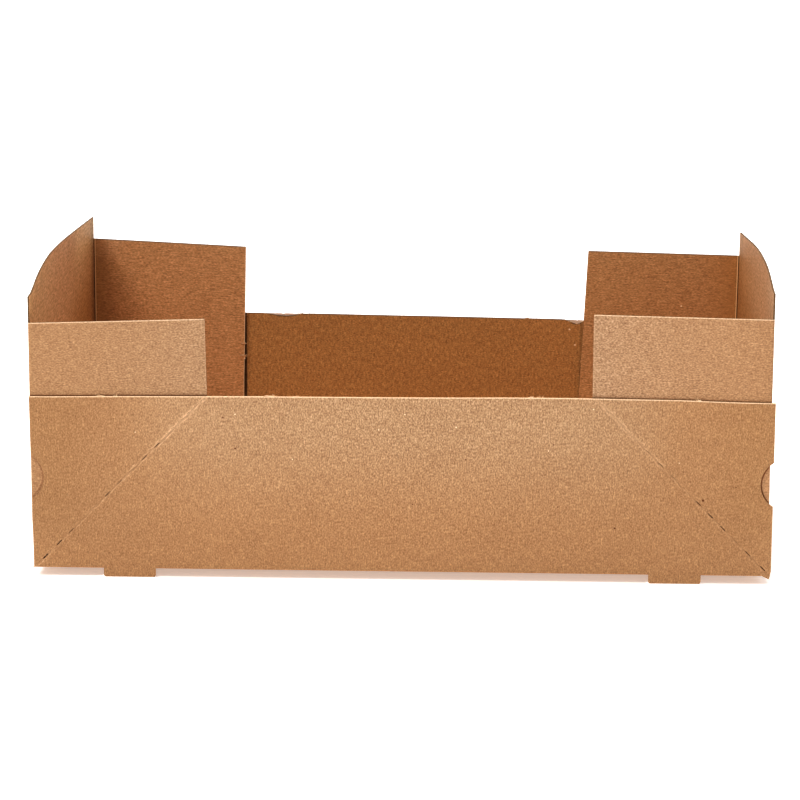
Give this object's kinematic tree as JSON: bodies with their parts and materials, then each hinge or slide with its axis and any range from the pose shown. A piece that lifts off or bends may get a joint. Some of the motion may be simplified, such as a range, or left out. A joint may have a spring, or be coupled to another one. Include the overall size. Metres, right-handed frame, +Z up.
{
  "type": "cardboard tray box",
  "caption": "Open-topped carrier tray folded from kraft board, with arched end walls, low long walls and glued corner wings.",
  "frame": {"origin": "middle of the tray in plan, on the surface that its foot tabs stand on", "axes": "+X along the long walls, +Y from the front wall to the back wall, +Z up"},
  "size_m": [0.2636, 0.165, 0.1087],
  "materials": {
    "kraft_board": "uncoated brown kraft board"
  },
  "bodies": {
    "root": {"tray_box": "kraft_board"}
  },
  "joints": []
}
